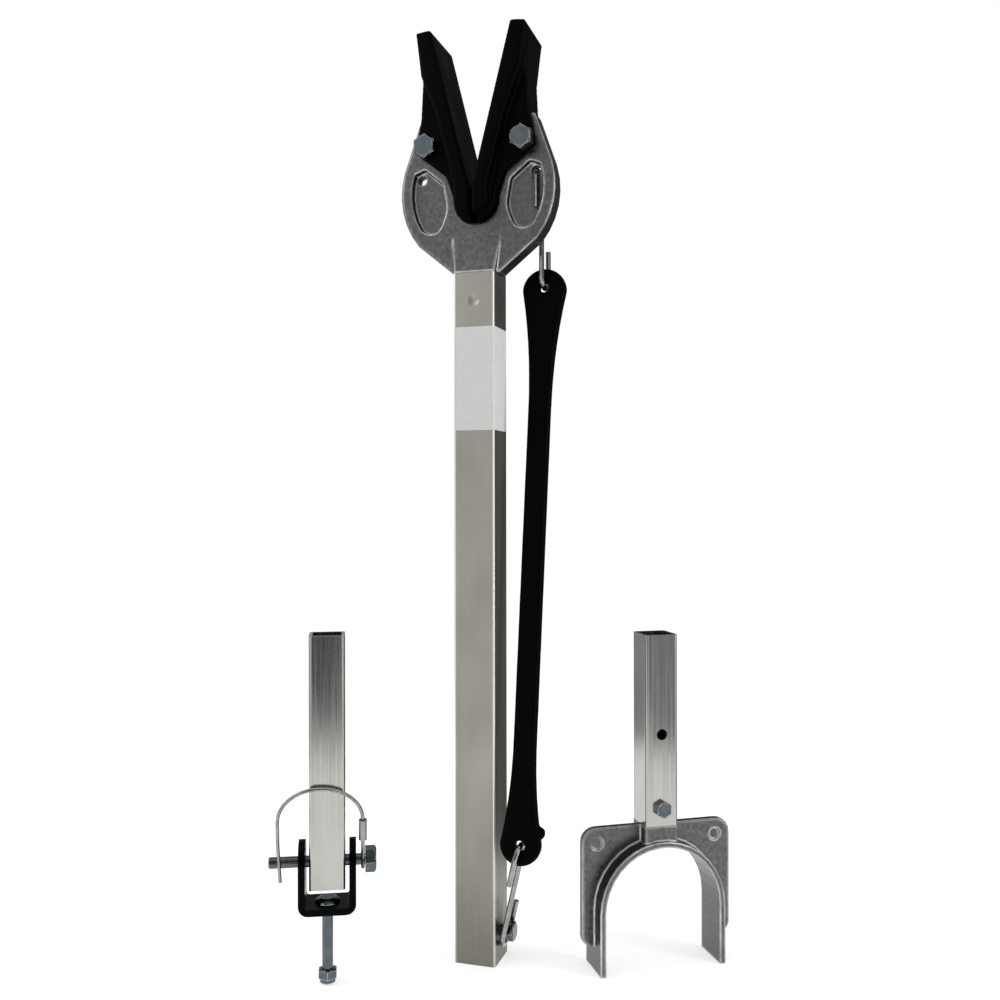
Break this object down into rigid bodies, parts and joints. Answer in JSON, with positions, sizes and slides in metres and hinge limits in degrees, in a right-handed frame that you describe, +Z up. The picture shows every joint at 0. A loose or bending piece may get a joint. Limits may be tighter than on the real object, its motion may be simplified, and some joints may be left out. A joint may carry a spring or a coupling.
{
  "type": "outboard motor support strut kit",
  "caption": "Square-tube strut with a rubber V cradle and strap that props a tilted outboard motor, with a pivoting bracket leg and an arched yoke leg.",
  "frame": {"origin": "centre of the kit's footprint, on the surface that it stands on", "axes": "+Z up along the strut's tube, -Y towards the front of the V cradle, +X to the right"},
  "size_m": [0.3094, 0.1698, 0.6954],
  "materials": {
    "satin_aluminium": "satin anodised, warm grey",
    "mill_aluminium": "mill finish with faint draw lines",
    "cast_aluminium": "tumbled casting, grey with bright edges",
    "black_rubber": "moulded, dull black",
    "black_paint": "gloss black powder coat",
    "zinc_plate": "zinc plated, bluish",
    "bright_wire": "bright drawn wire"
  },
  "bodies": {
    "strut": {"outer_tube": "satin_aluminium", "head_casting": "cast_aluminium", "left_pad": "black_rubber", "right_pad": "black_rubber", "left_pad_bolt": "zinc_plate", "right_pad_bolt": "zinc_plate", "left_pad_nut": "zinc_plate", "right_pad_nut": "zinc_plate", "anchor_bolt": "zinc_plate"},
    "upper_hook": {"upper_s_hook": "bright_wire"},
    "strap": {"rubber_strap": "black_rubber"},
    "lower_hook": {"lower_s_hook": "bright_wire"},
    "bracket_leg": {"bracket_leg_tube": "mill_aluminium"},
    "clevis": {"clevis_bracket": "black_paint", "bracket_bolt": "zinc_plate", "bracket_lock_nut": "zinc_plate"},
    "pin": {"hitch_pin": "zinc_plate"},
    "bail": {"wire_bail": "bright_wire", "bail_ferrule": "bright_wire"},
    "yoke_leg": {"yoke_leg_tube": "mill_aluminium", "yoke_casting": "cast_aluminium", "yoke_bolt": "zinc_plate", "yoke_nut": "zinc_plate"}
  },
  "joints": [
    {"name": "upper_hook_swing", "type": "hinge", "parent": "strut", "child": "upper_hook", "pos_m": [0.0211, 0.01585, 0.59], "axis": [0, -1, 0], "range_deg": [0, 3]},
    {"name": "strap_swing", "type": "hinge", "parent": "upper_hook", "child": "strap", "pos_m": [0.0211, 0.03745, 0.50717], "axis": [0, -1, 0], "range_deg": [0, 3.5]},
    {"name": "lower_hook_swing", "type": "hinge", "parent": "strap", "child": "lower_hook", "pos_m": [0.0131, -0.00415, 0.09383], "axis": [0, -1, 0], "range_deg": [0, 25]},
    {"name": "bracket_leg_slide", "type": "slide", "parent": "strut", "child": "bracket_leg", "axis": [-1, 0, 0], "range_m": [0, 0.12]},
    {"name": "clevis_pivot", "type": "hinge", "parent": "bracket_leg", "child": "clevis", "pos_m": [-0.1157, -0.05755, 0.0875], "axis": [0.9063, 0.4226, 0], "range_deg": [-100, 100]},
    {"name": "pin_slide", "type": "slide", "parent": "bracket_leg", "child": "pin", "axis": [0.9063, 0.4226, 0], "range_m": [0, 0.011]},
    {"name": "bail_swing", "type": "hinge", "parent": "pin", "child": "bail", "pos_m": [-0.1157, -0.05755, 0.0875], "axis": [0.9063, 0.4226, 0], "range_deg": [0, 150]},
    {"name": "yoke_leg_slide", "type": "slide", "parent": "strut", "child": "yoke_leg", "axis": [1, 0, 0], "range_m": [0, 0.12]}
  ]
}
